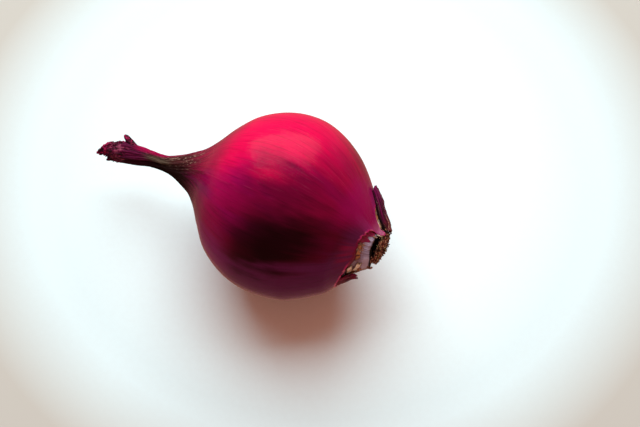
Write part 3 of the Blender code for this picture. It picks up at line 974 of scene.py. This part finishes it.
def add_root_stubs(bm):
    """Short broken roots, which lean outwards the further they stand from the middle."""
    for _ in range(ROOT_STUBS):
        angle = random.uniform(0, math.tau)
        radius = random.uniform(1.0, 6.2) * MM
        length = random.uniform(0.6, 1.7) * MM
        tilt = radius / (7 * MM) + random.uniform(-0.4, 0.4)
        along = round_axis(1.0, tilt, angle + random.uniform(-0.6, 0.6)).normalized()
        turn = Vector((0, 0, 1)).rotation_difference(along).to_matrix().to_4x4()
        x = 40.5 * MM - 1.5 * MM * (radius / (6.2 * MM)) ** 2
        middle = round_axis(x, radius, angle) + along * length * 0.2
        bmesh.ops.create_cone(
            bm, cap_ends=True, segments=6, radius1=0.34 * MM, radius2=0.16 * MM, depth=length,
            matrix=Matrix.Translation(middle) @ turn,
        )


def add_collar(bm):
    """A rough wall from the plate's rim to the scale, open on the side that the photo shows."""
    wall = bmesh.ops.create_grid(bm, x_segments=90, y_segments=10, size=1.0)
    for vert in wall["verts"]:
        angle = math.radians(276 + 126 * vert.co.x)
        share = (vert.co.y + 1) / 2
        ends = smooth_step(1.0, 0.86, abs(vert.co.x)) if abs(vert.co.x) > 0.86 else 1.0
        x = (36.3 + 2.6 * share * (0.5 + 0.5 * ends)) * MM
        radius = (scale_radius(x, angle) - 0.3 * MM) * (1 - share)
        radius += 6.1 * MM * share
        bumps = noise.noise_vector(round_axis(x, radius, angle) / (0.8 * MM)) * 0.35 * MM
        vert.co = round_axis(x, radius, angle) + bumps


def make_root_cork(material):
    """The root plate, crumbled all over, with short broken roots and crumbs on it."""
    bm = crumbled_plate()
    random.seed(7)
    add_root_stubs(bm)
    add_collar(bm)
    for _ in range(RING_CRUMBS):
        angle = random.uniform(0, math.tau)
        radius = random.gauss(6.0, 0.45) * MM
        x = random.gauss(39.1, 0.4) * MM
        crumb(bm, round_axis(x, radius, angle), random.uniform(0.12, 0.45) * MM)
    to_edge = bm.verts.layers.float["to_edge"]
    for vert in bm.verts:
        radius = math.hypot(vert.co.y, vert.co.z)
        vert[to_edge] = max(vert.co.x / MM - 38.9, radius / MM - 5.5)
    bm.transform(LAID_DOWN)
    piece("root_plate_cork", bm, material, "root_plate")


FLAP_MM = ((39.9, 7.1), (39.0, 8.3), (37.9, 9.9), (35.2, 12.6), (31.4, 17.2), (28.0, 20.0))
FLAP_ANGLE = math.radians(21)
TATTER_MM = ((27.2, 21.6), (29.0, 19.7), (30.6, 18.2), (32.2, 16.4), (33.6, 14.9), (34.8, 14.2))
TATTER_ANGLE = math.radians(196)


def flap_place(across, along):
    """The peeled flap: it stands off on its far side and curls down to the bulb on its near one,
    where the curl fills the dark gap and is painted black with shade by its material.
    """
    x, radius = smooth_path(FLAP_MM)(along)
    jag = wave(across * 2.1, 7.0, 1.0)
    torn = wave(across * 9, 2.0, along * 2)
    x += 0.9 * MM * (jag + 0.5 * torn) * (1 - smooth_step(0.0, 0.25, along))
    near = max(across, 0.0)
    middle_part = smooth_step(0.0, 0.3, along) * (1 - smooth_step(0.5, 0.85, along))
    width = 4.6 - 3.3 * near * middle_part - 3.6 * near * smooth_step(0.5, 0.9, along)
    angle = FLAP_ANGLE + across * width * MM / radius
    under = scale_radius(x, angle) - 1.2 * MM
    radius += (under - radius) * smooth_step(0.3, 1.0, near) * smooth_step(0.0, 0.25, along)
    radius += 0.3 * MM * wave(along * 9, across * 3, 4.0)
    radius += 0.16 * MM * wave(along * 25, across * 8, 9.0)
    radius += 0.7 * MM * max(-across, 0) ** 3 * wave(along * 14, 2.0, 6.0)
    return round_axis(x, radius, angle)


def make_skin_flap(material):
    bm = bmesh.new()
    strip(bm, flap_place, 56, 90)
    thicken(piece("peeled_skin_flap", bm, material, "skin_flap"), 0.4 * MM)


def tatter_place(across, along):
    """The torn tatter, which goes on from the skin's edge and shows its face to the near side."""
    x, radius = smooth_path(TATTER_MM)(along)
    jag = wave(across * 3.1, 7.0, 2.0)
    fine = wave(across * 11, 2.0, along * 2)
    x += 1.3 * MM * (jag + 0.6 * fine) * smooth_step(0.5, 1.0, along)
    width = (5.6 - 2.6 * along) * MM
    width += 0.8 * MM * wave(along * 9.0, round(across), 5.0) * abs(across) ** 3
    angle = TATTER_ANGLE - across * width / radius
    radius += 0.28 * MM * wave(along * 7, across * 5, 4.0)
    radius += 0.15 * MM * wave(along * 24, across * 14, 9.0)
    radius -= 0.9 * MM * max(across, 0) ** 2
    return round_axis(x, radius, angle)


def make_skin_tatter(material):
    bm = bmesh.new()
    strip(bm, tatter_place, 40, 44)
    thicken(piece("torn_skin_tatter", bm, material, "skin_tatter"), 0.4 * MM)


# Dried scraps of inner skin on the bared scale: angle, start, end, width, lift, a tone that is
# 0 for pale gold and 1 for brown, and a turn. Degrees and millimetres.
SCRAPS = (
    (180, 31.8, 37.2, 1.8, 0.5, 0.0, -70), (180, 30.6, 34.6, 1.5, 0.5, 0.05, -78),
    (203, 30.4, 31.8, 2.6, 0.6, 0.4, 0), (200, 31.8, 34.6, 2.2, 0.8, 0.5, 0),
    (125, 33.3, 34.2, 2.8, 0.35, 0.8, 0), (138, 33.6, 34.4, 2.6, 0.35, 0.7, 0),
    (150, 33.8, 34.5, 2.2, 0.4, 0.75, 0), (88, 36.5, 37.5, 0.8, 0.4, 0.7, 0),
    (77, 37.4, 38.6, 0.8, 0.5, 0.55, 0), (50, 34.4, 37.0, 1.6, 0.4, 0.8, 0),
    (42, 32.8, 36.6, 1.8, 0.5, 0.6, 0), (34, 31.0, 35.6, 1.8, 0.5, 0.75, 0),
    (24, 30.4, 35.4, 1.4, 0.6, 0.8, 0), (10, 31.4, 35.0, 1.6, 0.7, 0.6, 0),
    (350, 31.8, 35.2, 1.8, 0.8, 0.3, 15), (335, 32.2, 35.6, 2.2, 0.7, 0.8, -10),
    (310, 32.4, 35.8, 1.6, 0.7, 0.4, 20), (285, 31.6, 35.2, 2.4, 0.9, 0.2, -15),
    (262, 30.4, 34.6, 2.0, 1.0, 0.7, 10), (240, 29.2, 33.6, 2.4, 1.1, 0.3, -20),
    (222, 29.0, 33.2, 1.8, 1.0, 0.5, 12), (208, 29.6, 34.0, 2.2, 0.9, 0.4, 0),
)


SCRAP_COLUMNS = 12
SCRAP_ROWS = 14
SCRAP_CRUMBS = 190


def add_scrap(bm, index, scrap):
    """One dried scrap, with its tone and how near each point of it is to its rim."""
    degrees, start, end, width, lift, shade, turn = scrap
    middle = math.radians(degrees)
    cosine, sine = math.cos(math.radians(turn)), math.sin(math.radians(turn))

    def place(across, along):
        bend = wave(along * 1.6, index * 2.3, 1.0)
        nick = wave(across * 2.5, index * 5.1, 4.0)
        ahead = (end - start + 0.6) * (along * (1 + 0.28 * nick) - 0.5)
        half = 0.5 * width * (1 + 0.6 * wave(along * 3, across, index))
        aside = across * half * (1 - 0.3 * along**3) + 0.5 * bend
        x = ((start - 0.6 + end) / 2 + ahead * cosine - aside * sine) * MM
        angle = middle + (ahead * sine + aside * cosine) / 11
        curl = 0.55 * abs(across) ** 2 + 0.3 * along**2
        height = 0.12 + lift * (0.35 + 0.65 * curl) * smooth_step(0.0, 0.3, along)
        body = scale_radius(x, angle)
        return round_axis(x, body + height * MM, angle)

    tone = bm.verts.layers.float["tone"]
    rim = bm.verts.layers.float["rim"]
    before = len(bm.verts)
    strip(bm, place, SCRAP_COLUMNS, SCRAP_ROWS, index * 0.7)
    bm.verts.ensure_lookup_table()
    for step, vert in enumerate(bm.verts[before:]):
        row, column = divmod(step, SCRAP_COLUMNS + 1)
        from_sides = abs(column / (SCRAP_COLUMNS / 2) - 1)
        from_ends = abs(row / (SCRAP_ROWS / 2) - 1)
        vert[tone] = shade
        vert[rim] = max(from_sides, from_ends)


def add_scrap_crumbs(bm):
    """Brown crumbs on the near side of the bared scale."""
    tone = bm.verts.layers.float["tone"]
    rim = bm.verts.layers.float["rim"]
    random.seed(19)
    for _ in range(SCRAP_CRUMBS):
        along = random.random()
        angle = math.radians(random.gauss(196, 9))
        x = (32.5 + 6.2 * along) * MM
        radius = scale_radius(x, angle) + random.uniform(-0.2, 0.4) * MM
        before = len(bm.verts)
        crumb(bm, LAID_DOWN @ round_axis(x, radius, angle), random.uniform(0.1, 0.36) * MM)
        bm.verts.ensure_lookup_table()
        for vert in bm.verts[before:]:
            vert[tone] = random.uniform(0.5, 1.3)
            vert[rim] = 0.4


def make_scraps(material):
    """Dried scraps that lie on the bared scale from under the torn edge, and crumbs round them."""
    bm = bmesh.new()
    bm.verts.layers.float.new("tone")
    bm.verts.layers.float.new("rim")
    for index, scrap in enumerate(SCRAPS):
        add_scrap(bm, index, scrap)
    add_scrap_crumbs(bm)
    thicken(piece("dried_skin_scraps", bm, material, "bulb"), 0.22 * MM)


# The camera looks along the photograph's line of sight, with the onion left of its middle.
VIEW_AZIMUTH = math.radians(26)
VIEW_ELEVATION = math.radians(70.5)
VIEW_DISTANCE = 0.6
FRAME_WIDTH = 0.24
FRAME_RIGHT = 12.9 * MM
FRAME_DOWN = 3.75 * MM
SENSOR_MM = 36.0
BULB_MIDDLE = Vector((0.0, 0.0, 0.0345))

# A pool of light is painted on the table: it is brightest round a middle just behind the onion,
# and this far from it, in metres to the right and away from the camera, its painted light has
# faded.
BRIGHT_RIGHT, BRIGHT_AWAY = 0.013, 0.022
DULL_RIGHT, DULL_AWAY = 0.122, 0.086


def make_table():
    """A plain pale table top with a painted pool of light, brightest round the onion and painted
    darker towards the corners.
    """
    bm = bmesh.new()
    bmesh.ops.create_grid(bm, x_segments=1, y_segments=1, size=4.0)
    mesh = bpy.data.meshes.new("table_top")
    bm.to_mesh(mesh)
    bm.free()
    table = added("table_top", mesh)
    table.visible_glossy = False
    paint = Paint("pale table")
    east, north, _ = paint.parts(paint.place())
    cosine, sine = math.cos(VIEW_AZIMUTH), math.sin(VIEW_AZIMUTH)
    across = (east * cosine + north * sine - BRIGHT_RIGHT) / DULL_RIGHT
    away = (north * cosine - east * sine - BRIGHT_AWAY) / DULL_AWAY
    # Painted light: the table's colour falls off from the middle of the pool, cooler first and then
    # browner towards the corners.
    outwards = across * across * 0.68 + away * away * 0.40
    weave = paint.noise(paint.place(), 420.0, 3.0, 0.6)
    colour = paint.mix((outwards * 2).least(1.0), (0.84, 0.85, 0.85), (0.66, 0.715, 0.725))
    painted_dim_corners = (outwards * 2.5 - 1.5).most(0.0).least(1.0)
    colour = paint.mix(painted_dim_corners, colour, (0.485, 0.43, 0.385))
    colour = paint.mix(weave.rise(0.3, 0.7) * 0.04, colour, (0.5, 0.42, 0.38))
    paint.set(base_color=colour, roughness=0.9, specular_ior_level=0.0)
    mesh.materials.append(paint.material)


def view_axes():
    """The camera's right, its top, and the way back from the onion to it."""
    cosine, sine = math.cos(VIEW_AZIMUTH), math.sin(VIEW_AZIMUTH)
    level = math.cos(VIEW_ELEVATION)
    back = Vector((sine * level, -cosine * level, math.sin(VIEW_ELEVATION)))
    right = Vector((cosine, sine, 0.0))
    return right, back.cross(right), back


def make_camera():
    right, top, back = view_axes()
    data = bpy.data.cameras.new("camera")
    data.sensor_width = SENSOR_MM
    data.lens = SENSOR_MM * VIEW_DISTANCE / FRAME_WIDTH
    camera = added("camera", data)
    place = BULB_MIDDLE + back * VIEW_DISTANCE + right * FRAME_RIGHT - top * FRAME_DOWN
    turn = Matrix((right, top, back)).transposed().to_4x4()
    camera.matrix_world = Matrix.Translation(place) @ turn
    bpy.context.scene.camera = camera


def soft_light(name, azimuth, elevation, distance, width, height, energy, colour):
    """A square light that faces the bulb; azimuth turns right from straight behind it."""
    right, _, _ = view_axes()
    behind = Vector((-right.y, right.x, 0.0))
    level = behind * math.cos(math.radians(azimuth)) + right * math.sin(math.radians(azimuth))
    tall = math.radians(elevation)
    direction = level * math.cos(tall) + Vector((0, 0, math.sin(tall)))
    data = bpy.data.lights.new(name, "AREA")
    data.shape = "RECTANGLE"
    data.size = width
    data.size_y = height
    data.energy = energy
    data.color = colour
    lamp = added(name, data)
    lamp.location = BULB_MIDDLE + direction * distance
    lamp.rotation_euler = direction.to_track_quat("Z", "Y").to_euler()
    return lamp


ROOM_COLOUR = (1.0, 0.44, 0.305, 1.0)
ROOM_STRENGTH = 0.5


def make_lights():
    """One window behind the onion, as a light for its colours and another for its reflection."""
    window = soft_light(
        "window", azimuth=-5, elevation=50, distance=1.2, width=1.3, height=1.3,
        energy=33.0, colour=(0.72, 1.0, 1.05),
    )
    window.visible_glossy = False
    glow = soft_light(
        "window_glow", azimuth=2, elevation=34, distance=1.5, width=2.2, height=1.35,
        energy=37.0, colour=(0.9, 1.0, 0.85),
    )
    glow.visible_diffuse = False
    world = bpy.data.worlds.new("room")
    world.use_nodes = True
    background = world.node_tree.nodes["Background"]
    background.inputs["Color"].default_value = ROOM_COLOUR
    background.inputs["Strength"].default_value = ROOM_STRENGTH
    bpy.context.scene.world = world


def main():
    make_bulb_skin(bulb_paint())
    make_inner_scale(scale_paint())
    make_frayed_ends(fray_paint())
    make_root_cork(cork_paint())
    # The flap's near part, past shade_from across it, is painted black with shade.
    flap_paint = loose_skin_paint(
        "peeled purple skin",
        deep=(0.030, 0.001, 0.008), light=(0.17, 0.016, 0.018), far_light=(0.16, 0.002, 0.055),
        pale=(0.72, 0.46, 0.30), pale_share=0.7, shade_from=0.55,
    )
    make_skin_flap(flap_paint)
    tatter_paint = loose_skin_paint(
        "torn crimson skin",
        deep=(0.03, 0.001, 0.008), light=(0.22, 0.005, 0.042), far_light=(0.22, 0.005, 0.042),
        pale=(0.5, 0.08, 0.12), pale_share=0.5, shade_from=2.0,
    )
    make_skin_tatter(tatter_paint)
    make_scraps(scrap_paint())
    make_table()
    make_camera()
    make_lights()
    bpy.context.scene.view_settings.view_transform = "Standard"


main()
